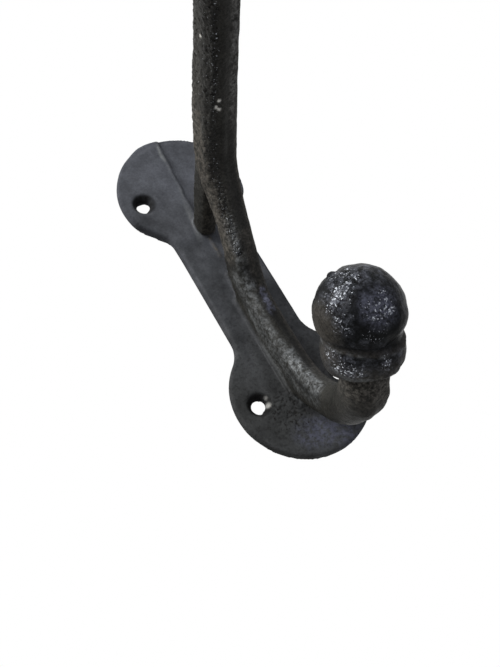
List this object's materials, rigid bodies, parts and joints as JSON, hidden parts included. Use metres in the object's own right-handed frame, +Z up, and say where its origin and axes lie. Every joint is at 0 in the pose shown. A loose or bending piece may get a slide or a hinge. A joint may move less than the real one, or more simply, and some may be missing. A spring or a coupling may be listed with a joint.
{
  "type": "coat hook",
  "caption": "Cast iron hat and coat hook: a screw plate with two round lobes, a long upper arm and a lower hook, both ending in a collared ball.",
  "frame": {"origin": "centre of the plate's back face, level with the middle of the four-hole pattern", "axes": "+Y runs into the wall, +Z is up and +X runs to the right for someone facing the wall. Both arms lie in the plane X = 0 and reach out towards -Y"},
  "size_m": [0.0498, 0.1381, 0.1468],
  "materials": {
    "black_cast_iron": "glossy black paint over rough casting"
  },
  "bodies": {
    "root": {"hook_casting": "black_cast_iron"}
  },
  "joints": []
}
